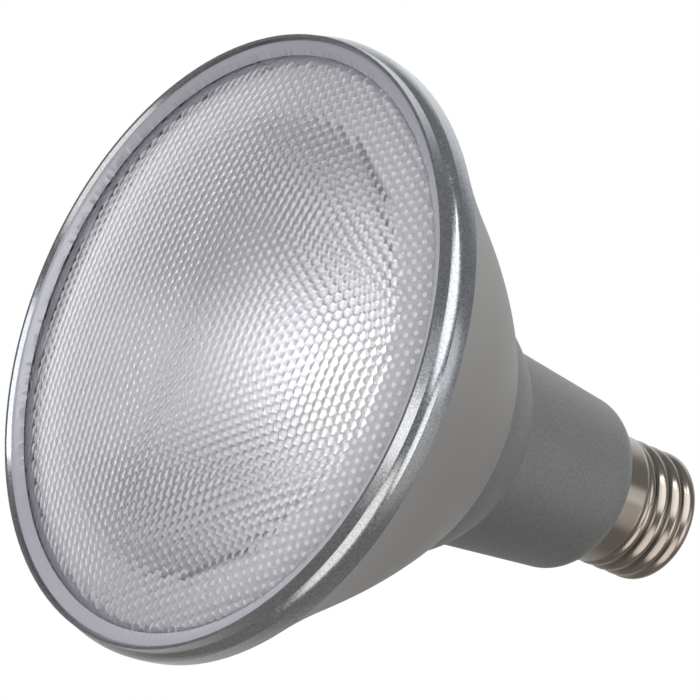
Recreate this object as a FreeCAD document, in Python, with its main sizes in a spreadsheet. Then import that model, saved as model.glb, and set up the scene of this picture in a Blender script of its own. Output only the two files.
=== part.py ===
import FreeCAD, Part
import Sketcher
import math
import os
from types import SimpleNamespace

# A reflector spotlight lamp with a long neck and a medium screw base, standing on its domed lens.
# Millimetres. Z runs up from the crown of the lens to the base, on the lamp's own axis.

os.makedirs("parts", exist_ok=True)
doc = FreeCAD.newDocument("SpotLamp")

driving = {
    # Rim, lens and seam
    "rim_radius": 60.325,
    "rim_widest_above_lip": 4.3,
    "seam_above_lip": 7.77,
    "seam_inset": 0.325,
    "crease_inset": 0.975,
    "crease_above_lip": 2.2,
    "rim_front_rise": 0.25,
    "rim_side_rise": 0.08,
    "lip_outer_inset": 1.125,
    "lip_inner_inset": 1.725,
    "lip_mouth_inset": 2.105,
    "lip_depth": 0.75,
    "lip_hold": 0.4,
    "lens_clearance": 0.1,
    "lens_smooth_ring": 1.0,
    "lens_bevel_width": 1.58,
    "lens_bevel_depth": 0.95,
    "lens_flange_thickness": 3.25,
    "lens_dome_height": 7.5,
    "lens_dome_thickness": 2.6,
    "lens_dome_seat": 1.6,
    "gasket_width": 2.0,
    "gasket_thickness": 0.6,
    "fit_clearance": 0.05,
    # Cone housing
    "cone_length": 41.21,
    "waist_above_seam": 20.61,
    "waist_radius": 45.49,
    "ridge_radius": 29.71,
    "cone_hollow_rise": 0.376,
    "cone_swell_rise": 0.611,
    "housing_wall": 2.8,
    "housing_front_wall": 3.0,
    "housing_front_depth": 1.5,
    "housing_end_wall": 3.88,
    "housing_mouth_inset": 2.86,
    # Collar and neck
    "collar_step": 2.4,
    "collar_length": 13.44,
    "collar_rise": 1.15,
    "neck_start_radius": 20.44,
    "neck_end_radius": 17.61,
    "neck_length": 27.88,
    "neck_wall": 2.2,
    "shoulder_length": 5.56,
    "shoulder_rise": 1.1,
    "shoulder_overhang": 0.3,
    "neck_socket_length": 3.0,
    "neck_socket_wall": 2.35,
    "lid_below_ridge": 0.5,
    "lid_thickness": 1.5,
    "lid_ledge": 2.0,
    "neck_roof": 2.4,
    # Reflector
    "reflector_mouth_radius": 44.0,
    "reflector_flange_thickness": 1.2,
    "reflector_wall": 1.6,
    "reflector_bend_radius": 28.0,
    "reflector_bowl_depth": 12.3,
    "reflector_mouth_rise": 0.75,
    "reflector_bowl_rise": 1.0,
    "reflector_hole_radius": 12.0,
    "reflector_foot_width": 5.0,
    "reflector_foot_thickness": 2.2,
    "reflector_throat_length": 1.2,
    # Light source and heat path
    "led_board_radius": 24.0,
    "led_board_thickness": 1.6,
    "led_base_side": 14.0,
    "led_base_thickness": 1.0,
    "led_dome_radius": 6.2,
    "led_dome_height": 0.6,
    "thermal_pad_thickness": 0.3,
    "spreader_thickness": 3.0,
    "spreader_skirt_thickness": 1.5,
    "spreader_gap": 0.4,
    "board_screw_circle": 20.5,
    "board_screw_count": 3,
    "board_screw_radius": 1.25,
    "board_screw_head_radius": 2.4,
    "board_screw_head_height": 1.5,
    "board_screw_length": 5.2,
    "screw_slot_width": 0.8,
    "screw_slot_depth": 0.7,
    "screw_slot_length": 3.4,
    "screw_hole_clearance": 0.2,
    # Driver
    "driver_board_half_width": 13.0,
    "driver_board_thickness": 1.6,
    "driver_board_foot_half_width": 19.6,
    "driver_board_foot_height": 5.0,
    "driver_board_top_gap": 2.0,
    "component_margin": 1.0,
    "transformer_core_width": 16.0,
    "transformer_core_depth": 11.0,
    "transformer_core_height": 6.0,
    "transformer_winding_width": 13.0,
    "transformer_winding_depth": 10.0,
    "transformer_winding_height": 8.0,
    "bulk_capacitor_radius": 5.0,
    "bulk_capacitor_height": 16.0,
    "bulk_capacitor_place": 6.5,
    "output_capacitor_radius": 4.0,
    "output_capacitor_height": 12.0,
    "output_capacitor_place": 5.5,
    "second_row_height": 18.0,
    "film_capacitor_width": 12.0,
    "film_capacitor_depth": 6.0,
    "film_capacitor_height": 9.0,
    "film_capacitor_place": 4.0,
    "inductor_radius": 4.0,
    "inductor_height": 9.0,
    "inductor_place": 4.0,
    "bridge_rectifier_width": 8.0,
    "bridge_rectifier_depth": 2.6,
    "bridge_rectifier_height": 6.5,
    "bridge_rectifier_place": 6.0,
    "driver_chip_width": 4.0,
    "driver_chip_depth": 1.6,
    "driver_chip_height": 5.0,
    "driver_chip_place": 7.0,
    "varistor_radius": 3.0,
    "varistor_height": 4.0,
    "varistor_place": 7.0,
    "varistor_raise": 5.5,
    "fuse_resistor_radius": 1.6,
    "fuse_resistor_height": 7.0,
    "fuse_resistor_place": 9.0,
    "fuse_resistor_raise": 8.0,
    "lead_radius": 0.8,
    "lead_place": 18.4,
    "lead_hole_clearance": 0.3,
    "lead_solder_height": 0.6,
    "neutral_lead_gap": 0.74,
    "neutral_lead_bend": 2.0,
    "neutral_lead_above_shell_edge": 3.2,
    # Screw base
    "shell_crest_radius": 13.05,
    "shell_sheet": 0.3,
    "shell_skirt_length": 5.6,
    "thread_pitch": 3.629,
    "thread_turns": 3.55,
    "thread_start_angle": 40.0,
    "thread_fade_turns": 0.6,
    "thread_depth": 0.76,
    "shell_end_round": 1.5,
    "shell_lip_width": 2.4,
    "spigot_gap": 0.25,
    "spigot_wall": 1.9,
    "insulator_clearance": 0.15,
    "insulator_flange_inset": 0.54,
    "insulator_flange_thickness": 2.7,
    "insulator_cone_height": 3.4,
    "insulator_top_margin": 0.65,
    "insulator_step": 0.3,
    "insulator_bore_radius": 1.2,
    "contact_radius": 4.75,
    "contact_rim_thickness": 0.8,
    "contact_height": 1.8,
    "contact_flat_radius": 2.6,
}


class Size:
    # A length: the number that it has now, and the formula over the sheet that gives it.
    def __init__(self, number, formula):
        self.number = number
        self.formula = formula

    def __add__(self, other):
        other = as_size(other)
        return Size(self.number + other.number, f"({self.formula} + {other.formula})")

    def __sub__(self, other):
        other = as_size(other)
        return Size(self.number - other.number, f"({self.formula} - {other.formula})")

    def __mul__(self, other):
        other = as_size(other)
        return Size(self.number * other.number, f"({self.formula} * {other.formula})")

    def __truediv__(self, other):
        other = as_size(other)
        return Size(self.number / other.number, f"({self.formula} / {other.formula})")

    def root(self):
        return Size(math.sqrt(self.number), f"sqrt({self.formula})")

    def __radd__(self, other):
        return as_size(other) + self

    def __rsub__(self, other):
        return as_size(other) - self

    def __rmul__(self, other):
        return as_size(other) * self


def as_size(value):
    if isinstance(value, Size):
        return value
    return Size(float(value), repr(float(value)))


def make_sheet():
    sheet = doc.addObject("Spreadsheet::Sheet", "Sizes")
    for row, (alias, value) in enumerate(driving.items(), start=1):
        sheet.set(f"A{row}", alias)
        sheet.set(f"B{row}", str(value))
        sheet.setAlias(f"B{row}", alias)
    doc.recompute()
    return SimpleNamespace(**{alias: Size(sheet.get(alias), "Sizes." + alias) for alias in driving})


size = make_sheet()
pieces = []
tolerance = 1e-6


def bind(item, prop, value):
    item.setExpression(prop, as_size(value).formula)


def keep(item, name):
    item.Label = name
    pieces.append(item)
    return item


def new_body(name):
    body = doc.addObject("PartDesign::Body", name)
    return keep(body, name)


def new_sketch(body, name, role):
    sketch = body.newObject("Sketcher::SketchObject", name)
    plane = [item for item in body.Origin.OriginFeatures if item.Role == role][0]
    sketch.AttachmentSupport = [(plane, "")]
    sketch.MapMode = "FlatFace"
    return sketch


def fix(sketch, kind, name, value, *where):
    value = as_size(value)
    index = sketch.addConstraint(Sketcher.Constraint(kind, *where, value.number))
    sketch.renameConstraint(index, name)
    sketch.setExpression("Constraints." + name, value.formula)


def place_point(sketch, edge, end, across, up, name):
    # Points on an axis of the sketch are held there, all others by their distances from it.
    if across.number == 0:
        sketch.addConstraint(Sketcher.Constraint("PointOnObject", edge, end, -2))
    else:
        fix(sketch, "DistanceX", name + "_across", across, -1, 1, edge, end)
    if up.number == 0:
        sketch.addConstraint(Sketcher.Constraint("PointOnObject", edge, end, -1))
    else:
        fix(sketch, "DistanceY", name + "_up", up, -1, 1, edge, end)


def draw_outline(sketch, corners):
    # A corner is (across, up) or (across, up, rise, side). With a rise the edge to the next corner
    # is an arc that stands off its chord by that rise, to the right of the way round for side 1.
    spots = [(as_size(corner[0]), as_size(corner[1])) for corner in corners]
    points = [FreeCAD.Vector(across.number, up.number, 0) for across, up in spots]
    edges = []
    for index, corner in enumerate(corners):
        following = (index + 1) % len(corners)
        start = points[index]
        end = points[following]
        if len(corner) == 2:
            edges.append((sketch.addGeometry(Part.LineSegment(start, end), False), 1, 2))
            continue
        rise, side = as_size(corner[2]), corner[3]
        chord = end - start
        outward = FreeCAD.Vector(chord.y, -chord.x, 0).normalize()
        middle = (start + end) * 0.5 + outward * (side * rise.number)
        arc = sketch.addGeometry(Part.Arc(start, middle, end), False)
        first = 1 if sketch.getPoint(arc, 1).distanceToPoint(start) < tolerance else 2
        edges.append((arc, first, 3 - first))
        run = spots[following][0] - spots[index][0]
        climb = spots[following][1] - spots[index][1]
        radius = (run * run + climb * climb) / (8 * rise) + rise / 2
        fix(sketch, "Radius", f"arc{index}", radius, arc)
    for index, (edge, first, last) in enumerate(edges):
        after = edges[(index + 1) % len(edges)]
        sketch.addConstraint(Sketcher.Constraint("Coincident", edge, last, after[0], after[1]))
    for index, (edge, first, last) in enumerate(edges):
        place_point(sketch, edge, first, *spots[index], f"corner{index}")


def turned(name, corners):
    # A piece turned about the lamp's axis from its section.
    body = new_body(name)
    sketch = new_sketch(body, name + "_section", "XZ_Plane")
    draw_outline(sketch, corners)
    turn = body.newObject("PartDesign::Revolution", name + "_turn")
    turn.Profile = sketch
    turn.ReferenceAxis = (sketch, ["V_Axis"])
    turn.Angle = 360
    return body


def drill(body, name, radius, across, up, count=1):
    # Round holes right through along the axis, repeated evenly about it.
    sketch = new_sketch(body, name + "_circle", "XY_Plane")
    across, up, radius = as_size(across), as_size(up), as_size(radius)
    centre = FreeCAD.Vector(across.number, up.number, 0)
    circle = sketch.addGeometry(Part.Circle(centre, FreeCAD.Vector(0, 0, 1), radius.number), False)
    place_point(sketch, circle, 3, across, up, "hole")
    fix(sketch, "Radius", "hole_radius", radius, circle)
    pocket = body.newObject("PartDesign::Pocket", name)
    pocket.Profile = sketch
    pocket.Type = "ThroughAll"
    pocket.SideType = "Symmetric"
    count = as_size(count)
    if count.number > 1:
        pattern = body.newObject("PartDesign::PolarPattern", name + "s")
        pattern.Originals = [pocket]
        pattern.Axis = ([item for item in body.Origin.OriginFeatures if item.Role == "Z_Axis"][0], [""])
        pattern.Angle = 360
        pattern.Occurrences = int(count.number)
        bind(pattern, "Occurrences", count)
        body.Tip = pattern


def drill_for_leads(body, name):
    # One hole for each of the two leads that run along the faces of the driver board.
    radius = size.lead_radius + size.lead_hole_clearance
    drill(body, name + "_right", radius, size.lead_place, lead_beside)
    drill(body, name + "_left", radius, 0 - size.lead_place, lead_beside)


def box(name, centre_x, near_y, low_z, width, depth, height):
    item = doc.addObject("Part::Box", name)
    bind(item, "Length", width)
    bind(item, "Width", depth)
    bind(item, "Height", height)
    bind(item, "Placement.Base.x", centre_x - as_size(width) / 2)
    bind(item, "Placement.Base.y", near_y)
    bind(item, "Placement.Base.z", low_z)
    return item


def rod(name, radius, height, x, y, z):
    item = doc.addObject("Part::Cylinder", name)
    bind(item, "Radius", radius)
    bind(item, "Height", height)
    bind(item, "Placement.Base.x", x)
    bind(item, "Placement.Base.y", y)
    bind(item, "Placement.Base.z", z)
    return item


def group(name, items):
    # Separate solids that share one node.
    item = doc.addObject("Part::Compound", name)
    item.Links = items
    return keep(item, name)


# Heights and radii that several pieces share
seam_radius = size.rim_radius - size.seam_inset
bezel_bore = size.rim_radius - size.lip_mouth_inset + size.lip_hold
lens_radius = bezel_bore - size.lens_clearance
bead_height = size.lens_dome_height
mouth_height = bead_height - size.lens_bevel_depth
lip_height = mouth_height - size.lip_depth
seam_height = lip_height + size.seam_above_lip
lens_back = mouth_height + size.lens_flange_thickness
flange_front = lens_back + size.gasket_thickness
flange_back = flange_front + size.reflector_flange_thickness
waist_height = seam_height + size.waist_above_seam
ridge_height = seam_height + size.cone_length
collar_end = ridge_height + size.collar_length
neck_end = collar_end + size.neck_length
shell_edge = neck_end + size.shoulder_length
ledge_height = ridge_height - size.housing_end_wall
ledge_share = (ledge_height - waist_height) / (ridge_height - waist_height)
ledge_radius = size.waist_radius + (size.ridge_radius - size.waist_radius) * ledge_share - size.housing_wall
socket_radius = size.ridge_radius - size.housing_mouth_inset
spreader_front = ledge_height - size.spreader_thickness
board_back = spreader_front - size.thermal_pad_thickness
board_front = board_back - size.led_board_thickness
lid_top = ridge_height - size.lid_below_ridge
lid_bottom = lid_top - size.lid_thickness
thread_start = shell_edge + size.shell_skirt_length
thread_end = thread_start + size.thread_pitch * size.thread_turns
shell_end = thread_end + size.shell_end_round
spigot_radius = size.shell_crest_radius - size.thread_depth - size.shell_sheet - size.spigot_gap
spigot_bore = spigot_radius - size.spigot_wall
shell_mouth = size.shell_crest_radius - size.shell_lip_width
neutral_place = spigot_bore - size.lead_radius - size.neutral_lead_gap
insulator_top = shell_end + size.insulator_cone_height
spigot_end = shell_end - size.shell_sheet - size.insulator_flange_thickness
driver_board_top = neck_end - size.driver_board_top_gap
lead_beside = size.driver_board_thickness / 2 + size.lead_radius


def make_bezel_ring():
    turned("bezel_ring", [
        (size.rim_radius - size.lip_mouth_inset, mouth_height),
        (size.rim_radius - size.lip_inner_inset, lip_height),
        (size.rim_radius - size.lip_outer_inset, lip_height),
        (size.rim_radius - size.crease_inset, lip_height + size.crease_above_lip, size.rim_front_rise, 1),
        (size.rim_radius, lip_height + size.rim_widest_above_lip, size.rim_side_rise, 1),
        (seam_radius, seam_height),
        (bezel_bore, seam_height),
        (bezel_bore, mouth_height),
    ])


def dome_rise(radius, height):
    # How far the section of a dome stands off the chord from its crown to its edge.
    chord = (radius * radius + height * height).root()
    return height * chord / (chord + radius) / 2


def make_lens():
    # A shallow dome of even thickness, with a smooth flat rim that the bezel holds.
    smooth_edge = size.rim_radius - size.lip_mouth_inset - size.lens_smooth_ring
    bead_radius = smooth_edge - size.lens_bevel_width
    back_radius = bead_radius - size.lens_dome_seat
    back_height = lens_back - size.lens_dome_thickness
    turned("lens", [
        (0, 0, dome_rise(bead_radius, bead_height), 1),
        (bead_radius, bead_height),
        (smooth_edge, mouth_height),
        (lens_radius, mouth_height),
        (lens_radius, lens_back),
        (back_radius, lens_back, dome_rise(back_radius, back_height), -1),
        (0, size.lens_dome_thickness),
    ])


def make_lens_gasket():
    turned("lens_gasket", [
        (lens_radius - size.gasket_width, lens_back),
        (lens_radius, lens_back),
        (lens_radius, flange_front),
        (lens_radius - size.gasket_width, flange_front),
    ])


def make_reflector():
    bend_height = board_front - size.reflector_bowl_depth
    foot_radius = size.reflector_hole_radius + size.reflector_foot_width
    foot_top = board_front - size.reflector_foot_thickness
    turned("reflector", [
        (size.reflector_mouth_radius, flange_front, size.reflector_mouth_rise, 1),
        (size.reflector_bend_radius, bend_height, size.reflector_bowl_rise, 1),
        (size.reflector_hole_radius, board_front - size.reflector_throat_length),
        (size.reflector_hole_radius, board_front),
        (foot_radius, board_front),
        (foot_radius, foot_top, size.reflector_bowl_rise * 0.7, -1),
        (size.reflector_bend_radius + size.reflector_wall, bend_height, size.reflector_mouth_rise, -1),
        (size.reflector_mouth_radius + size.reflector_wall, flange_back),
        (lens_radius, flange_back),
        (lens_radius, flange_front),
    ])


def make_housing():
    spigot = bezel_bore - size.fit_clearance
    inner_front = spigot - size.housing_front_wall
    inner_waist = size.waist_radius - size.housing_wall
    turned("housing", [
        (spigot, flange_back),
        (spigot, seam_height),
        (seam_radius, seam_height, size.cone_hollow_rise, -1),
        (size.waist_radius, waist_height, size.cone_swell_rise, 1),
        (size.ridge_radius, ridge_height),
        (socket_radius, ridge_height),
        (socket_radius, ledge_height),
        (ledge_radius, ledge_height, size.cone_swell_rise * 0.8, -1),
        (inner_waist, waist_height, size.cone_hollow_rise, 1),
        (inner_front, seam_height + size.housing_front_depth),
        (inner_front, flange_back),
    ])


def make_driver_housing():
    # Collar, neck and threaded spigot are one moulding that plugs into the cone.
    plug = socket_radius - size.fit_clearance
    plug_bore = plug - size.neck_socket_wall
    plug_end = ridge_height - size.neck_socket_length
    cavity_start = plug_bore - size.lid_ledge
    roof = neck_end + size.shoulder_length - size.neck_roof
    body = turned("driver_housing", [
        (plug, plug_end),
        (plug, ridge_height),
        (size.ridge_radius - size.collar_step, ridge_height, size.collar_rise, 1),
        (size.neck_start_radius, collar_end),
        (size.neck_end_radius, neck_end, size.shoulder_rise, 1),
        (size.shell_crest_radius + size.shoulder_overhang, shell_edge),
        (spigot_radius, shell_edge),
        (spigot_radius, spigot_end),
        (spigot_bore, spigot_end),
        (spigot_bore, roof),
        (size.neck_end_radius - size.neck_wall, neck_end),
        (size.neck_start_radius - size.neck_wall, collar_end),
        (cavity_start, lid_top),
        (plug_bore, lid_top),
        (plug_bore, plug_end),
    ])
    # The neutral lead leaves through a hole in the side of the spigot.
    hole = new_sketch(body, "spigot_hole_circle", "YZ_Plane")
    height = shell_edge + size.neutral_lead_above_shell_edge
    centre = FreeCAD.Vector(0, height.number, 0)
    circle = hole.addGeometry(Part.Circle(centre, FreeCAD.Vector(0, 0, 1), 1), False)
    place_point(hole, circle, 3, as_size(0), height, "hole")
    fix(hole, "Radius", "hole_radius", size.lead_radius + size.lead_hole_clearance, circle)
    pocket = body.newObject("PartDesign::Pocket", "spigot_hole")
    pocket.Profile = hole
    pocket.Type = "ThroughAll"
    pocket.Reversed = True


def make_heat_spreader():
    # A pressed cup whose skirt follows the cone and whose floor carries the light source.
    rim = size.waist_radius - size.housing_wall - size.spreader_gap
    edge = ledge_radius - size.spreader_gap
    skirt = size.spreader_skirt_thickness
    slope = (rim - edge) / (ledge_height - waist_height)
    body = turned("heat_spreader", [
        (0, spreader_front),
        (edge + slope * size.spreader_thickness - skirt, spreader_front),
        (rim - skirt, waist_height),
        (rim, waist_height),
        (edge, ledge_height),
        (0, ledge_height),
    ])
    drill(body, "spreader_screw_hole", size.board_screw_radius + size.fit_clearance,
          0, size.board_screw_circle, size.board_screw_count)
    drill_for_leads(body, "spreader_lead_hole")


def make_thermal_pad():
    body = turned("thermal_pad", [
        (0, board_back),
        (size.led_board_radius, board_back),
        (size.led_board_radius, spreader_front),
        (0, spreader_front),
    ])
    drill(body, "pad_screw_hole", size.board_screw_radius + size.screw_hole_clearance,
          0, size.board_screw_circle, size.board_screw_count)
    drill_for_leads(body, "pad_lead_hole")


def make_led_board():
    body = turned("led_board", [
        (0, board_front),
        (size.led_board_radius, board_front),
        (size.led_board_radius, board_back),
        (0, board_back),
    ])
    drill(body, "board_screw_hole", size.board_screw_radius + size.screw_hole_clearance,
          0, size.board_screw_circle, size.board_screw_count)
    drill_for_leads(body, "board_lead_hole")


def make_led():
    base_front = board_front - size.led_base_thickness
    base = box("led_base", as_size(0), 0 - size.led_base_side / 2, base_front,
               size.led_base_side, size.led_base_side, size.led_base_thickness)
    keep(base, "led_base")
    turned("led_phosphor", [
        (0, base_front - size.led_dome_height),
        (size.led_dome_radius - size.led_dome_height, base_front - size.led_dome_height),
        (size.led_dome_radius, base_front),
        (0, base_front),
    ])


def make_board_screws():
    # Pan heads stand on the board, in front of it.
    head_front = board_front - size.board_screw_head_height
    screws = []
    for index in range(int(size.board_screw_count.number)):
        turn = math.radians(90 + 360 * index / size.board_screw_count.number)
        x = size.board_screw_circle * math.cos(turn)
        y = size.board_screw_circle * math.sin(turn)
        head = rod(f"screw_head_{index}", size.board_screw_head_radius,
                   size.board_screw_head_height, x, y, head_front)
        shank = rod(f"screw_shank_{index}", size.board_screw_radius,
                    size.board_screw_length, x, y, board_front)
        slot = box(f"screw_slot_{index}", x, y - size.screw_slot_width / 2, head_front,
                   size.screw_slot_length, size.screw_slot_width, size.screw_slot_depth)
        joined = doc.addObject("Part::Fuse", f"screw_blank_{index}")
        joined.Base = head
        joined.Tool = shank
        screw = doc.addObject("Part::Cut", f"screw_{index}")
        screw.Base = joined
        screw.Tool = slot
        screws.append(screw)
    group("board_screws", screws)


def make_driver_lid():
    radius = socket_radius - size.fit_clearance - size.neck_socket_wall - size.fit_clearance
    body = turned("driver_lid", [(0, lid_bottom), (radius, lid_bottom), (radius, lid_top), (0, lid_top)])
    drill_for_leads(body, "lid_lead_hole")


def make_driver_board():
    body = new_body("driver_board")
    sketch = new_sketch(body, "driver_board_outline", "XZ_Plane")
    wide = size.driver_board_foot_half_width
    narrow = size.driver_board_half_width
    foot_top = lid_top + size.driver_board_foot_height
    draw_outline(sketch, [
        (0 - wide, lid_top), (wide, lid_top), (wide, foot_top), (narrow, foot_top),
        (narrow, driver_board_top), (0 - narrow, driver_board_top), (0 - narrow, foot_top), (0 - wide, foot_top),
    ])
    pad = body.newObject("PartDesign::Pad", "driver_board_sheet")
    pad.Profile = sketch
    pad.SideType = "Symmetric"
    bind(pad, "Length", size.driver_board_thickness)


def make_driver_parts():
    # Component bodies on both faces of the board, each standing on it, in two rows.
    front = size.driver_board_thickness / 2
    back = 0 - front
    low = lid_top + size.driver_board_foot_height + size.component_margin
    high = low + size.second_row_height
    for name, place, near, bottom in (
            ("transformer_core", as_size(0), front, low),
            ("transformer_winding", as_size(0), front, low + size.transformer_core_height),
            ("film_capacitor", 0 - size.film_capacitor_place, back - size.film_capacitor_depth, high),
            ("bridge_rectifier", 0 - size.bridge_rectifier_place, front, high),
            ("driver_chip", size.driver_chip_place, back - size.driver_chip_depth, high)):
        width, depth, height = (getattr(size, f"{name}_{way}") for way in ("width", "depth", "height"))
        keep(box(name, place, near, bottom, width, depth, height), name)
    for name, side, face, bottom in (
            ("bulk_capacitor", -1, back, low),
            ("output_capacitor", 1, back, low),
            ("inductor", 1, front, high),
            ("varistor", 1, back, high + size.varistor_raise),
            ("fuse_resistor", -1, front, high + size.fuse_resistor_raise)):
        radius, height, place = (getattr(size, f"{name}_{word}") for word in ("radius", "height", "place"))
        outward = 1 if face is front else -1
        keep(rod(name, radius, height, place * side, face + radius * outward, bottom), name)


def make_leads():
    low = board_front - size.lead_solder_height
    height = lid_top + size.driver_board_foot_height - low - size.component_margin
    wires = [rod("led_lead_0", size.lead_radius, height, size.lead_place, lead_beside, low),
             rod("led_lead_1", size.lead_radius, height, 0 - size.lead_place, lead_beside, low)]
    group("led_leads", wires)
    live = rod("live_lead", size.lead_radius, insulator_top - driver_board_top, 0, 0, driver_board_top)
    keep(live, "live_lead")


def make_neutral_lead():
    # Straight up from the board, then out through the spigot to the inside of the shell.
    place = neutral_place.number
    bend = size.neutral_lead_bend.number
    top = (shell_edge + size.neutral_lead_above_shell_edge).number
    tip = (size.shell_crest_radius - size.shell_sheet - size.fit_clearance).number
    radius = size.lead_radius.number
    tip = math.sqrt(tip * tip - radius * radius)
    start = FreeCAD.Vector(place, 0, driver_board_top.number)
    before = FreeCAD.Vector(place, 0, top - bend)
    offset = bend * (1 - math.sqrt(0.5))
    middle = FreeCAD.Vector(place + offset, 0, top - offset)
    after = FreeCAD.Vector(place + bend, 0, top)
    end = FreeCAD.Vector(tip, 0, top)
    path = Part.Wire([Part.LineSegment(start, before).toShape(), Part.Arc(before, middle, after).toShape(),
                      Part.LineSegment(after, end).toShape()])
    circle = Part.Wire([Part.Circle(start, FreeCAD.Vector(0, 0, 1), radius).toShape()])
    lead = doc.addObject("Part::Feature", "neutral_lead")
    lead.Shape = path.makePipeShell([circle], True, False)
    keep(lead, "neutral_lead")


rings_per_turn = 8
round_share = 0.98      # the round at the shell's end leaves a little of the cap straight


def shell_ring(height, inset):
    # One ring of the rolled thread. A round ring whose centre circles the axis once a pitch makes
    # a knuckle thread, so the centre's throw grows from nothing and dies away at the far end.
    pitch = size.thread_pitch.number
    fade_length = pitch * size.thread_fade_turns.number
    run_in = min(1, (height - thread_start.number) / fade_length)
    run_out = min(1, (thread_end.number - height) / fade_length)
    fade = (3 - 2 * run_in) * run_in ** 2 * (3 - 2 * run_out) * run_out ** 2
    throw = fade * size.thread_depth.number / 2
    turn = math.radians(size.thread_start_angle.number) + 2 * math.pi * (height - thread_start.number) / pitch
    centre = FreeCAD.Vector(throw * math.cos(turn), throw * math.sin(turn), height)
    radius = size.shell_crest_radius.number - throw - inset
    return Part.Wire([Part.Circle(centre, FreeCAD.Vector(0, 0, 1), radius).toShape()])


def shell_form(inset, top):
    # The skirt, the thread and the rounded end as one solid, taken in all round by the inset.
    radius = size.shell_crest_radius.number - inset
    start, end = thread_start.number, thread_end.number
    count = math.ceil(size.thread_turns.number * rings_per_turn)
    rings = [shell_ring(start + (end - start) * index / count, inset) for index in range(count + 1)]
    thread = Part.makeLoft(rings, True)
    skirt = Part.makeCylinder(radius, start - shell_edge.number, FreeCAD.Vector(0, 0, shell_edge.number))
    cap = Part.makeCylinder(radius, top - end, FreeCAD.Vector(0, 0, end))
    brim = [edge for edge in cap.Edges if edge.BoundBox.ZMin > top - tolerance]
    cap = cap.makeFillet((size.shell_end_round.number - inset) * round_share, brim)
    return skirt.fuse([thread, cap])


def make_screw_shell():
    sheet = size.shell_sheet.number
    top = shell_end.number
    outer = shell_form(0, top)
    inner = shell_form(sheet, top - sheet)
    mouth = Part.makeCylinder(shell_mouth.number, 3 * sheet, FreeCAD.Vector(0, 0, top - 2 * sheet))
    shell = doc.addObject("Part::Feature", "screw_shell")
    shell.Shape = outer.cut(inner).cut(mouth)
    keep(shell, "screw_shell")


def make_base_end():
    neck = shell_mouth - size.insulator_clearance
    flange = spigot_radius - size.insulator_flange_inset
    under = shell_end - size.shell_sheet
    turned("base_insulator", [
        (size.insulator_bore_radius, spigot_end),
        (flange, spigot_end),
        (flange, under),
        (neck, under),
        (neck, shell_end + size.insulator_step),
        (size.contact_radius + size.insulator_top_margin, insulator_top),
        (size.insulator_bore_radius, insulator_top),
    ])
    turned("centre_contact", [
        (0, insulator_top),
        (size.contact_radius, insulator_top),
        (size.contact_radius, insulator_top + size.contact_rim_thickness),
        (size.contact_flat_radius, insulator_top + size.contact_height),
        (0, insulator_top + size.contact_height),
    ])


for make in (make_bezel_ring, make_lens, make_lens_gasket, make_reflector, make_housing,
             make_driver_housing, make_heat_spreader, make_thermal_pad, make_led_board, make_led,
             make_board_screws, make_driver_lid, make_driver_board, make_driver_parts, make_leads,
             make_neutral_lead, make_screw_shell, make_base_end):
    make()
doc.recompute()

for item in doc.Objects:
    if "Invalid" in item.State or "Error" in item.State:
        raise RuntimeError(f"{item.Label} did not build: {item.State}")
for piece in pieces:
    shape = piece.Shape
    if shape.isNull() or not shape.isValid():
        raise RuntimeError(f"{piece.Label} has no sound shape")
    box_of = shape.optimalBoundingBox(False)
    print(f"{piece.Label:22} solids {len(shape.Solids)} volume {shape.Volume:10.1f} "
          f"z {box_of.ZMin:7.2f} to {box_of.ZMax:7.2f}")
    shape.exportStep(f"parts/{piece.Label}.step")
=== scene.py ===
import math
import bpy
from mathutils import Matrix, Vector


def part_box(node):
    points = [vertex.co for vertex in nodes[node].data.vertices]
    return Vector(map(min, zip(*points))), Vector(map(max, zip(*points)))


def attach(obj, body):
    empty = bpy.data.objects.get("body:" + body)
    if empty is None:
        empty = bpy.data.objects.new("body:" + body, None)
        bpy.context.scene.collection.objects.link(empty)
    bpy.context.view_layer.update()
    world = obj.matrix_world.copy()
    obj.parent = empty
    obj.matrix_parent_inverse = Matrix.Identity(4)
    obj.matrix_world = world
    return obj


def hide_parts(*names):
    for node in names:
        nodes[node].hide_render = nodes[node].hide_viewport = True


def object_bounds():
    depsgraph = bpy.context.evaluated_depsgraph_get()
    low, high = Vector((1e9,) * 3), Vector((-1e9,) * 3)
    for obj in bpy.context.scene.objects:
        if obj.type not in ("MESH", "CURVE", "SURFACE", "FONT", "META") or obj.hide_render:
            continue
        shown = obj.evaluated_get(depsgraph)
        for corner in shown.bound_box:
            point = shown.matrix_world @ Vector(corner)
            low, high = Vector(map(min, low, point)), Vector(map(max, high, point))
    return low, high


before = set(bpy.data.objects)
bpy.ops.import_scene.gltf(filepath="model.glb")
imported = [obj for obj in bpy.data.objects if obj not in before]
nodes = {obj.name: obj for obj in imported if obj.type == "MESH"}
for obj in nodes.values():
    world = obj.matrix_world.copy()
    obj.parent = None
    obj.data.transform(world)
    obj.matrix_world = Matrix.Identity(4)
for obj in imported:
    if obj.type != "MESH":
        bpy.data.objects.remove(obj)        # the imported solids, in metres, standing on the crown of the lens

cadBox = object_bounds()
mm = 0.001
print("frame loaded:", len(nodes), "solids")


# Shader sockets with arithmetic

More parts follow.
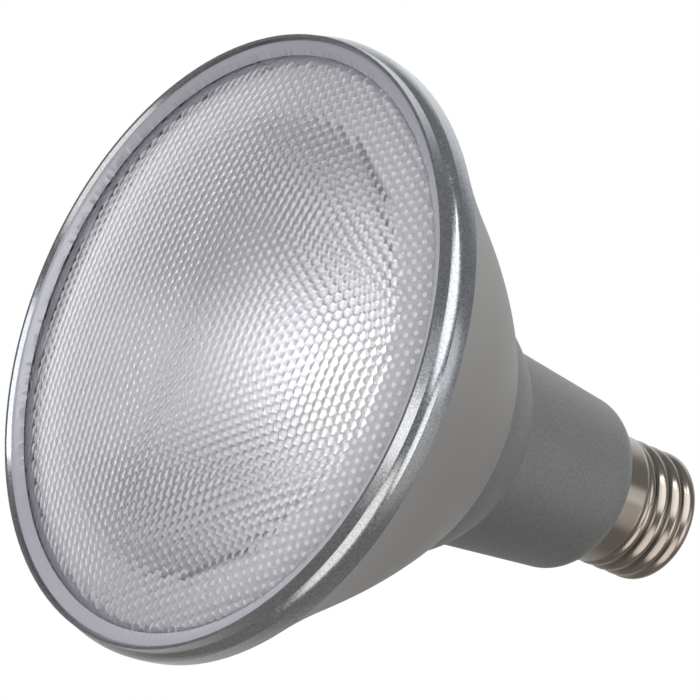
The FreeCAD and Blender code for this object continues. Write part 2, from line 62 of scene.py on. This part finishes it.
class Wire:
    def __init__(self, sheet, socket):
        self.sheet = sheet
        self.socket = socket

    def maths(self, operation, *values):
        sockets = dict(enumerate(values))
        return self.sheet.node("ShaderNodeMath", {"operation": operation}, sockets)

    def __add__(self, other):
        return self.maths("ADD", self, other)

    def __radd__(self, other):
        return self.maths("ADD", other, self)

    def __sub__(self, other):
        return self.maths("SUBTRACT", self, other)

    def __rsub__(self, other):
        return self.maths("SUBTRACT", other, self)

    def __mul__(self, other):
        return self.maths("MULTIPLY", self, other)

    def __rmul__(self, other):
        return self.maths("MULTIPLY", other, self)

    def above(self, edge, width):        # 0 below the edge, 1 above it, with a soft step
        settings = {"interpolation_type": "SMOOTHSTEP"}
        return self.sheet.node("ShaderNodeMapRange", settings, {
            "Value": self, "From Min": edge - width / 2, "From Max": edge + width / 2})


class Sheet:                             # the node sheet of a material or of the world
    def __init__(self, owner):
        owner.use_nodes = True
        self.owner = owner
        self.tree = owner.node_tree
        self.tree.nodes.clear()

    def node(self, kind, settings=None, sockets=None, out=0):
        made = self.tree.nodes.new(kind)
        for name, value in (settings or {}).items():
            setattr(made, name, value)
        for name, value in (sockets or {}).items():
            socket = made.inputs[name]
            if isinstance(value, Wire):
                self.tree.links.new(value.socket, socket)
            else:
                socket.default_value = value
        return Wire(self, made.outputs[out])

    def place(self):                     # the point on the object, in metres
        return self.node("ShaderNodeTexCoord", None, None, "Object")

    def noise(self, scale, detail):
        return self.node("ShaderNodeTexNoise", None, {
            "Vector": self.place(), "Scale": scale, "Detail": detail})

    def flakes(self, scale):             # a random grey for each small cell
        cell = self.node("ShaderNodeTexVoronoi", None, {"Vector": self.place(), "Scale": scale}, "Color")
        return self.part(0, cell)

    def part(self, axis, vector=None):   # one coordinate of a vector
        return self.node("ShaderNodeSeparateXYZ", None, {0: vector or self.place()}, axis)

    def fromAxis(self):                  # distance from the axis of the lamp
        flat = self.node("ShaderNodeVectorMath", {"operation": "MULTIPLY"}, {0: self.place(), 1: (1, 1, 0)})
        return self.node("ShaderNodeVectorMath", {"operation": "LENGTH"}, {0: flat}, "Value")

    def along(self, vector, direction):  # how far a vector points along a direction
        settings = {"operation": "DOT_PRODUCT"}
        return self.node("ShaderNodeVectorMath", settings, {0: vector, 1: tuple(direction)}, "Value")

    def mix(self, factor, first, second):
        # 6, 7 and 2 are the two colours and the result in colour
        return self.node("ShaderNodeMix", {"data_type": "RGBA"}, {0: factor, 6: first, 7: second}, 2)

    def bump(self, height, strength, distance):
        return self.node("ShaderNodeBump", None, {
            "Height": height, "Strength": strength, "Distance": distance})

    def finish(self, shader):
        isWorld = isinstance(self.owner, bpy.types.World)
        end = self.tree.nodes.new("ShaderNodeOutputWorld" if isWorld else "ShaderNodeOutputMaterial")
        self.tree.links.new(shader.socket, end.inputs["Surface"])
        return self.owner


def newFinish(name):
    return Sheet(bpy.data.materials.new(name))


def principled(sheet, sockets):
    return sheet.finish(sheet.node("ShaderNodeBsdfPrincipled", None, sockets))


def grey(level, warm=0.0):               # a nearly neutral colour, warmer above zero
    return (level * (1 + warm), level, level * (1 - warm), 1.0)


# Camera, at the angle of the photograph

cameraValues = {
    "place": (-7.5725, -803.5198, -610.2034),        # mm, from the middle of the lip
    "turn": (-154.14419, -46.16316, -123.89549),     # degrees
    "lens": 282.8314,
    "farthest": 20,                      # metres
}
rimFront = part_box("bezel_ring")[0].z     # height of the lip above the crown of the lens

eye = bpy.data.objects.new("camera", bpy.data.cameras.new("camera"))
bpy.context.scene.collection.objects.link(eye)
eye.location = Vector(cameraValues["place"]) * mm + Vector((0, 0, rimFront))
eye.rotation_euler = [math.radians(angle) for angle in cameraValues["turn"]]
eye.data.lens = cameraValues["lens"]
eye.data.clip_end = cameraValues["farthest"]
bpy.context.scene.camera = eye

eyeTurn = eye.rotation_euler.to_matrix()
photoRight, photoUp, photoBack = (eyeTurn.col[axis].copy() for axis in range(3))


def photoWay(right, up, back):           # a direction as it looks in the photo, back is to the camera
    return (photoRight * right + photoUp * up + photoBack * back).normalized()


# Floor and spark

floorValues = {
    "size": 6.0,
    "colour": grey(0.92),
}

sparkValues = {                          # a small round lamp, in metres and watts
    "way": (0.45, 0.75, 0.45),           # right, up and towards the camera
    "away": 1.6,
    "size": 0.16,
    "power": 1.2,
    "aim": 0.4,                          # share of the lamp's height
}


def makeFloor():
    # One-sided, so that the camera below it sees the lens through it
    v = floorValues
    bpy.ops.object.select_all(action="DESELECT")
    bpy.ops.mesh.primitive_plane_add(size=v["size"], location=(0, 0, 0))
    floor = bpy.context.object
    floor.name = "floor"
    sheet = newFinish("floorPaper")
    backs = sheet.node("ShaderNodeNewGeometry", None, None, "Backfacing")
    paper = sheet.node("ShaderNodeBsdfDiffuse", None, {"Color": v["colour"]})
    gap = sheet.node("ShaderNodeBsdfTransparent")
    floor.data.materials.append(sheet.finish(sheet.node("ShaderNodeMixShader", None, {
        0: backs, 1: paper, 2: gap})))
    floor.visible_shadow = False
    floor.visible_diffuse = False
    floor.visible_glossy = False
    floor.visible_transmission = False


def makeSpark():
    # Aimed at the lamp from its way, for the points of light on the metal
    v = sparkValues
    light = bpy.data.lights.new("spark", "AREA")
    light.shape = "DISK"
    light.size = v["size"]
    light.energy = v["power"]
    lamp = bpy.data.objects.new("spark", light)
    bpy.context.scene.collection.objects.link(lamp)
    way = photoWay(*v["way"])
    lamp.location = Vector((0, 0, cadBox[1].z * v["aim"])) + way * v["away"]
    lamp.rotation_euler = way.to_track_quat("Z", "Y").to_euler()


# World: soft light for matt surfaces, and what metal and glass show of the room

studioValues = {
    "above": 1.05,                       # soft light from above and below, as the photo lies
    "below": 0.16,
    "overhead": 0.50,                    # more of it from over the floor
    "room": 0.28,                        # the room on the camera's side
    "wallAbove": 1.0,                    # the white wall behind the lamp
    "wallBelow": 0.5,
    "roomInLens": 0.38,                  # the room and the wall as the lens lets them through
    "wallInLens": 1.0,
    "bandInLens": 0.55,                  # a pale band above, on the camera's side
    "cool": (0.99, 1.0, 1.01, 1),        # tints of the reflections, above and below
    "warm": (1.0, 0.96, 0.92, 1),
    "tintInLens": (1.0, 0.99, 1.0, 1),
    # Where each step lies along its direction, and how wide it is
    "softStep": (0.0, 1.8),
    "overheadStep": (0.40, 0.8),
    "wallStep": (-0.55, 0.4),
    "wallFade": (0.0, 0.9),
    "tintStep": (-0.3, 0.6),
    "bandFoot": (-0.15, 0.3),
    "bandHead": (0.90, 0.2),
    "bandBack": (0.10, 0.4),
}

# Soft boxes: the way to each, the edge of its spot, the width of that edge and the strength
shownBoxes = {
    "upper": ((0.50, 0.45, 0.75), 0.90, 0.07, 2.2),
    "lower": ((-0.06, -0.66, 0.74), 0.90, 0.07, 1.6),
    "rightGlow": ((0.86, -0.46, 0.22), 0.93, 0.08, 0.4),
    "sideGlow": ((0.99, -0.06, 0.10), 0.985, 0.02, 0.9),
    "lip": ((0.74, -0.38, 0.56), 0.950, 0.030, 1.8),
    "beads": ((-0.78, 0.38, 0.42), 0.960, 0.025, 5.0),       # the dots of light on the beads
}
lensBoxes = {
    "left": ((-0.80, 0.05, 0.60), 0.81, 0.24, 0.90),
}


def makeWorld():
    v = studioValues
    white = (1, 1, 1, 1)
    world = bpy.data.worlds.new("studio")
    bpy.context.scene.world = world
    sheet = Sheet(world)
    look = sheet.node("ShaderNodeTexCoord", None, None, "Generated")
    up = sheet.along(look, photoUp)
    back = sheet.along(look, photoBack)

    def addBoxes(light, boxes):
        for way, edge, width, strength in boxes.values():
            light = light + sheet.along(look, photoWay(*way)).above(edge, width) * strength
        return light

    def background(colour, level):
        return sheet.node("ShaderNodeBackground", None, {"Color": colour, "Strength": level})

    def forRay(kind, others, chosen):
        ray = sheet.node("ShaderNodeLightPath", None, None, kind)
        return sheet.node("ShaderNodeMixShader", None, {0: ray, 1: others, 2: chosen})

    soft = up.above(*v["softStep"]) * (v["above"] - v["below"]) + v["below"]
    soft = soft + sheet.part(2, look).above(*v["overheadStep"]) * v["overhead"]

    wall = 1 - back.above(*v["wallStep"])
    wallLevel = up.above(*v["wallFade"]) * (v["wallAbove"] - v["wallBelow"]) + v["wallBelow"]
    shown = addBoxes(v["room"] * (1 - wall) + wall * wallLevel, shownBoxes)
    tint = sheet.mix(up.above(*v["tintStep"]), v["warm"], v["cool"])

    band = up.above(*v["bandFoot"]) * (1 - up.above(*v["bandHead"])) * back.above(*v["bandBack"])
    inLens = addBoxes(v["roomInLens"] * (1 - wall) + wall * v["wallInLens"], lensBoxes)
    inLens = inLens + band * v["bandInLens"]

    shader = background(white, soft)
    shader = forRay("Is Glossy Ray", shader, background(tint, shown))
    shader = forRay("Is Transmission Ray", shader, background(v["tintInLens"], inLens))
    shader = forRay("Is Camera Ray", shader, background(white, 1.0))
    sheet.finish(shader)


makeFloor()
makeSpark()
makeWorld()
bpy.context.scene.view_settings.view_transform = "Standard"
print("camera, floor and studio ready")


# Lens: one moulding with a field of six-sided beads on a shallow dome

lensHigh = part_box("lens")[1]

lensValues = {
    "beadPitch": 2.008 * mm,
    "beadStretch": 1.03,                 # beads are longer along Y
    "beadHeight": 0.58 * mm,
    "beadRound": 1.4 * mm,               # reach of the pull that rounds a bead
    "beadCuts": 2,
    "turn": -2.08,                       # degrees
    "fieldRadius": 55.64 * mm,
    "fieldHeight": 7.5 * mm,
    "onRing": 0.9995,                    # share of the radius from which a point counts as on the ring
    "bevelRadius": 57.22 * mm,
    "bevelHeight": 6.55 * mm,
    "rimRadius": lensHigh.x,
    "backHeight": lensHigh.z,
    "backRadius": 54.04 * mm,
    "backRings": 12,
    "thickness": 2.6 * mm,
    "mergeDistance": 0.02 * mm,
    "smoothAngle": 35,                   # degrees
}


def domeHeight(radius, edge, rise):
    # Height over the crown of a ball that rises to its edge
    ball = (edge * edge + rise * rise) / (2 * rise)
    return ball - math.sqrt(ball * ball - radius * radius)


def editMode():
    bpy.ops.object.mode_set(mode="EDIT")


def objectMode():
    bpy.ops.object.mode_set(mode="OBJECT")


def extrudeRing(radiusBefore, radius, climb):
    factor = radius / radiusBefore
    bpy.ops.mesh.extrude_edges_move(TRANSFORM_OT_translate={"value": (0, 0, climb)})
    bpy.ops.transform.resize(value=(factor, factor, 1), center_override=(0, 0, 0))


def repeatAlong(piece, name, step, count):
    repeat = piece.modifiers.new(name, "ARRAY")
    repeat.use_relative_offset = False
    repeat.use_constant_offset = True
    repeat.constant_offset_displace = step
    repeat.count = count
    bpy.ops.object.modifier_apply(modifier=name)


def makeBead():
    # A flat hexagon whose middle is pulled out to a round crown
    v = lensValues
    bpy.ops.object.select_all(action="DESELECT")
    bpy.ops.mesh.primitive_circle_add(vertices=6, radius=v["beadPitch"] / math.sqrt(3), fill_type="TRIFAN")
    bead = bpy.context.object
    bead.name = "bead_lens"
    editMode()
    bpy.ops.mesh.select_all(action="SELECT")
    bpy.ops.mesh.subdivide(number_cuts=v["beadCuts"])
    bpy.ops.transform.resize(value=(1, v["beadStretch"], 1), center_override=(0, 0, 0))
    bpy.ops.mesh.select_mode(type="VERT")
    bpy.ops.mesh.select_all(action="DESELECT")
    objectMode()
    for vertex in bead.data.vertices:
        vertex.select = vertex.co.length < v["mergeDistance"]
    editMode()
    bpy.ops.transform.translate(
        value=(0, 0, -v["beadHeight"]), use_proportional_edit=True,
        proportional_edit_falloff="SPHERE", proportional_size=v["beadRound"])
    bpy.ops.mesh.select_all(action="SELECT")
    bpy.ops.transform.translate(value=(0, 0, v["beadHeight"]))
    return bead


def makeBeadField():
    # Two beads, one from each kind of row, are repeated to a sheet wider than the lens
    v = lensValues
    field = makeBead()
    pitch = v["beadPitch"]
    row = 1.5 * (pitch / math.sqrt(3)) * v["beadStretch"]
    bpy.ops.mesh.duplicate_move(TRANSFORM_OT_translate={"value": (pitch / 2, row, 0)})
    bpy.ops.mesh.select_all(action="SELECT")
    columns = math.ceil(v["fieldRadius"] / pitch) + 2        # on each side of the middle
    rowPairs = math.ceil(v["fieldRadius"] / (2 * row)) + 1
    bpy.ops.transform.translate(value=(-columns * pitch, -rowPairs * 2 * row, 0))
    objectMode()
    repeatAlong(field, "columns", (pitch, 0, 0), 2 * columns + 1)
    repeatAlong(field, "rows", (0, 2 * row, 0), 2 * rowPairs + 1)
    editMode()
    bpy.ops.mesh.select_all(action="SELECT")
    bpy.ops.mesh.remove_doubles(threshold=v["mergeDistance"])
    bpy.ops.transform.rotate(value=-math.radians(v["turn"]), orient_axis="Z", center_override=(0, 0, 0))
    objectMode()
    return field


def trimField(field):
    # Faces wholly outside the ring go, those that cross it end on it, and the sheet is domed
    v = lensValues
    ring = v["fieldRadius"]
    outside = ring * v["onRing"]
    editMode()
    bpy.ops.mesh.select_mode(type="FACE")
    bpy.ops.mesh.select_all(action="DESELECT")
    objectMode()
    spots = field.data.vertices
    for face in field.data.polygons:
        face.select = all(math.hypot(spots[i].co.x, spots[i].co.y) > outside for i in face.vertices)
    editMode()
    bpy.ops.mesh.delete(type="FACE")
    objectMode()
    for vertex in field.data.vertices:
        reach = math.hypot(vertex.co.x, vertex.co.y)
        if reach > outside:
            vertex.co.x *= ring / reach
            vertex.co.y *= ring / reach
            vertex.co.z = 0
            reach = ring
        vertex.co.z += domeHeight(reach, ring, v["fieldHeight"])


def closeLens(field):
    # The open edge is drawn out over the smooth ring, round the rim and along the inner dome
    v = lensValues
    editMode()
    bpy.ops.mesh.select_mode(type="EDGE")
    bpy.ops.mesh.select_all(action="DESELECT")
    bpy.ops.mesh.select_non_manifold(extend=False, use_wire=False, use_multi_face=False,
                                     use_non_contiguous=False, use_verts=False)
    steps = [(v["bevelRadius"], v["bevelHeight"]), (v["rimRadius"], v["bevelHeight"]),
             (v["rimRadius"], v["backHeight"]), (v["backRadius"], v["backHeight"])]
    rise = v["backHeight"] - v["thickness"]
    for ring in range(1, v["backRings"]):
        radius = v["backRadius"] * (1 - ring / v["backRings"])
        steps.append((radius, v["thickness"] + domeHeight(radius, v["backRadius"], rise)))
    lastRadius, lastHeight = v["fieldRadius"], v["fieldHeight"]
    for radius, height in steps:
        extrudeRing(lastRadius, radius, height - lastHeight)
        lastRadius, lastHeight = radius, height
    bpy.ops.mesh.extrude_edges_move(TRANSFORM_OT_translate={"value": (0, 0, v["thickness"] - lastHeight)})
    bpy.ops.mesh.merge(type="CENTER")
    bpy.ops.mesh.select_all(action="SELECT")
    bpy.ops.mesh.normals_make_consistent(inside=False)
    objectMode()
    bpy.ops.object.shade_smooth_by_angle(angle=math.radians(v["smoothAngle"]))


plasticValues = {
    "bluish": (0.955, 0.95, 0.985, 1),
    "clear": (0.975, 0.97, 0.995, 1),
    "clouds": 40,                        # to the metre
    "rough": 0.05,
    "bending": 1.49,                     # index of refraction, here and in the smooth ring
    "ringDark": (0.62, 0.61, 0.69, 1),
    "ringLight": (0.68, 0.67, 0.74, 1),
    "ringClouds": 60,
    "ringRough": 0.2,
    "ringClear": 0.2,
}


def clearFinish():
    v = plasticValues
    sheet = newFinish("clearPlastic")
    return principled(sheet, {
        "Base Color": sheet.mix(sheet.noise(v["clouds"], 2), v["bluish"], v["clear"]),
        "Roughness": v["rough"],
        "IOR": v["bending"],
        "Transmission Weight": 1.0,
    })


def smoothRingFinish():
    # pale and a little milky
    v = plasticValues
    sheet = newFinish("lensRim")
    return principled(sheet, {
        "Base Color": sheet.mix(sheet.noise(v["ringClouds"], 2), v["ringDark"], v["ringLight"]),
        "Roughness": v["ringRough"],
        "IOR": v["bending"],
        "Transmission Weight": v["ringClear"],
    })


def makeLens():
    lens = makeBeadField()
    trimField(lens)
    closeLens(lens)
    lens.data.materials.append(clearFinish())
    lens.data.materials.append(smoothRingFinish())
    for face in lens.data.polygons:
        reach = math.hypot(face.center.x, face.center.y)
        face.material_index = 1 if reach > lensValues["fieldRadius"] else 0
    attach(lens, "root")
    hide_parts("lens")
    print("lens made:", len(lens.data.polygons), "faces")


makeLens()


# Finishes of the solids in view

mirrorValues = {
    "dark": grey(0.84),
    "light": grey(0.90),
    "satin": grey(0.88),
    "streaks": 30,                       # to the metre
    "satinEnd": 14.0 * mm,               # height over the crown where the satin of the mouth ends
    "satinFade": 6.0 * mm,
    "metal": 0.85,
    "metalLost": 0.50,                   # by the satin
    "rough": 0.12,
    "roughStreak": 0.05,
    "roughSatin": 0.12,
}


def mirrorFinish():
    # bright in the bowl, satin at its mouth and on the flat flange
    v = mirrorValues
    sheet = newFinish("mirrorMetal")
    streak = sheet.noise(v["streaks"], 3)
    satin = 1 - sheet.part(2).above(v["satinEnd"], v["satinFade"])
    return principled(sheet, {
        "Base Color": sheet.mix(satin, sheet.mix(streak, v["dark"], v["light"]), v["satin"]),
        "Metallic": v["metal"] - satin * v["metalLost"],
        "Roughness": streak * v["roughStreak"] + v["rough"] + satin * v["roughSatin"],
    })


rimValues = {
    "dark": (0.30, 0.32, 0.345, 1),
    "light": (0.48, 0.495, 0.515, 1),
    "flakes": 5200,                      # to the metre
    "rough": 0.15,
    "roughFlake": 0.10,
    "coat": 0.5,
    "coatRough": 0.03,
    "bump": 0.10,
    "bumpDepth": 0.02 * mm,
}


def rimFinish():
    # gloss silver paint with fine flakes under a clear coat
    v = rimValues
    sheet = newFinish("silverGloss")
    flake = sheet.flakes(v["flakes"])
    return principled(sheet, {
        "Base Color": sheet.mix(flake, v["dark"], v["light"]),
        "Metallic": 1.0,
        "Roughness": flake * v["roughFlake"] + v["rough"],
        "Coat Weight": v["coat"],
        "Coat Roughness": v["coatRough"],
        "Normal": sheet.bump(flake, v["bump"], v["bumpDepth"]),
    })


coneValues = {
    "dark": grey(0.245, 0.025),
    "light": grey(0.27, 0.025),
    "grains": 3600,                      # to the metre
    "metal": 0.3,
    "rough": 0.5,
    "bump": 0.1,
    "bumpDepth": 0.02 * mm,
}


def coneFinish():
    v = coneValues
    sheet = newFinish("silverMatte")
    grain = sheet.noise(v["grains"], 2)
    return principled(sheet, {
        "Base Color": sheet.mix(grain, v["dark"], v["light"]),
        "Metallic": v["metal"],
        "Roughness": v["rough"],
        "Normal": sheet.bump(grain, v["bump"], v["bumpDepth"]),
    })


neckValues = {
    "dark": (0.18, 0.182, 0.185, 1),
    "light": (0.245, 0.247, 0.25, 1),
    "grains": 3000,                      # to the metre
    "speckles": 4200,
    "metal": 0.4,
    "rough": 0.5,
    "bump": 0.15,
    "bumpDepth": 0.02 * mm,
}


def neckFinish():
    v = neckValues
    sheet = newFinish("silverNeck")
    grain = sheet.noise(v["grains"], 3)
    speckle = sheet.flakes(v["speckles"])
    return principled(sheet, {
        "Base Color": sheet.mix(speckle, v["dark"], v["light"]),
        "Metallic": v["metal"],
        "Roughness": v["rough"],
        "Normal": sheet.bump(grain, v["bump"], v["bumpDepth"]),
    })


shellValues = {
    # the first colour is painted shade for the valleys of the thread, not a colour of the nickel
    "valleyPaintedShade": (0.11, 0.10, 0.09, 1),
    "dark": (0.32, 0.285, 0.25, 1),
    "light": (0.38, 0.335, 0.295, 1),
    "hazes": 300,                        # to the metre
    "paintedShadeEnd": 12.35 * mm,             # distance from the axis at which the painted shade of the valleys ends
    "paintedShadeFade": 0.9 * mm,
    "rough": 0.17,
    "roughHaze": 0.06,
}


def shellFinish():
    # nickel, with painted shade darkening the valleys of the thread
    v = shellValues
    sheet = newFinish("nickel")
    haze = sheet.noise(v["hazes"], 3)
    # painted shade: points nearer the axis than the crests take the dark valley colour
    crestWithoutPaintedShade = sheet.fromAxis().above(v["paintedShadeEnd"], v["paintedShadeFade"])
    return principled(sheet, {
        "Base Color": sheet.mix(crestWithoutPaintedShade, v["valleyPaintedShade"], sheet.mix(haze, v["dark"], v["light"])),
        "Metallic": 1.0,
        "Roughness": haze * v["roughHaze"] + v["rough"],
    })


dressed = {
    "reflector": mirrorFinish,
    "bezel_ring": rimFinish,
    "housing": coneFinish,
    "driver_housing": neckFinish,
    "screw_shell": shellFinish,
}


def dress(name, finish):
    piece = nodes[name]
    piece.data.materials.clear()
    piece.data.materials.append(finish)


for name, makeFinish in dressed.items():
    dress(name, makeFinish())


# Finishes of the pieces inside and at the end of the base

grainValues = {
    "dark": 0.88,                        # share of the colour in the grain's valleys, and on its tops
    "light": 1.08,
    "rough": 0.1,
    "bump": 0.3,
}

plainValues = {                          # colour, roughness, metallic, grain size and depth in mm
    "lens_gasket": ((0.75, 0.75, 0.74), 0.55, 0.0, 0.6, 0.05),
    "heat_spreader": ((0.75, 0.75, 0.76), 0.35, 1.0, 0.8, 0.02),
    "thermal_pad": ((0.45, 0.47, 0.50), 0.7, 0.0, 0.5, 0.05),
    "led_board": ((0.86, 0.86, 0.85), 0.4, 0.0, 0.7, 0.02),
    "led_base": ((0.88, 0.88, 0.86), 0.3, 0.0, 0.4, 0.01),
    "led_phosphor": ((0.92, 0.86, 0.66), 0.5, 0.0, 0.3, 0.03),
    "board_screws": ((0.60, 0.60, 0.60), 0.35, 1.0, 0.4, 0.02),
    "driver_lid": ((0.84, 0.84, 0.82), 0.45, 0.0, 0.6, 0.03),
    "driver_board": ((0.04, 0.26, 0.11), 0.4, 0.0, 0.5, 0.02),
    "transformer_core": ((0.09, 0.09, 0.10), 0.6, 0.0, 0.3, 0.04),
    "transformer_winding": ((0.84, 0.66, 0.08), 0.35, 0.0, 0.9, 0.03),
    "bulk_capacitor": ((0.04, 0.05, 0.08), 0.3, 0.0, 0.8, 0.01),
    "output_capacitor": ((0.04, 0.05, 0.08), 0.3, 0.0, 0.8, 0.01),
    "film_capacitor": ((0.50, 0.08, 0.05), 0.3, 0.0, 0.9, 0.02),
    "inductor": ((0.10, 0.10, 0.11), 0.5, 0.0, 0.4, 0.03),
    "bridge_rectifier": ((0.03, 0.03, 0.03), 0.45, 0.0, 0.3, 0.02),
    "driver_chip": ((0.03, 0.03, 0.03), 0.5, 0.0, 0.3, 0.02),
    "varistor": ((0.06, 0.17, 0.42), 0.4, 0.0, 0.5, 0.03),
    "fuse_resistor": ((0.18, 0.36, 0.25), 0.5, 0.0, 0.4, 0.03),
    "led_leads": ((0.58, 0.05, 0.04), 0.4, 0.0, 0.5, 0.01),
    "live_lead": ((0.85, 0.85, 0.83), 0.4, 0.0, 0.5, 0.01),
    "neutral_lead": ((0.85, 0.85, 0.83), 0.4, 0.0, 0.5, 0.01),
    "base_insulator": ((0.025, 0.025, 0.028), 0.22, 0.0, 0.7, 0.02),
    "centre_contact": ((0.70, 0.67, 0.60), 0.3, 1.0, 0.5, 0.03),
}


def plainFinish(name, colour, rough, metal, grainSize, grainDepth):
    # a moulded, pressed or coated surface: colour that varies a little over a fine grain
    v = grainValues
    sheet = newFinish(name)
    grain = sheet.noise(1 / grainSize, 2)
    dark = tuple(part * v["dark"] for part in colour) + (1.0,)
    light = tuple(min(1.0, part * v["light"]) for part in colour) + (1.0,)
    return principled(sheet, {
        "Base Color": sheet.mix(grain, dark, light),
        "Metallic": metal,
        "Roughness": grain * v["rough"] + rough,
        "Normal": sheet.bump(grain, v["bump"], grainDepth),
    })


for name, (colour, rough, metal, grainSize, grainDepth) in plainValues.items():
    dress(name, plainFinish(name, colour, rough, metal, grainSize * mm, grainDepth * mm))
print("finishes given")
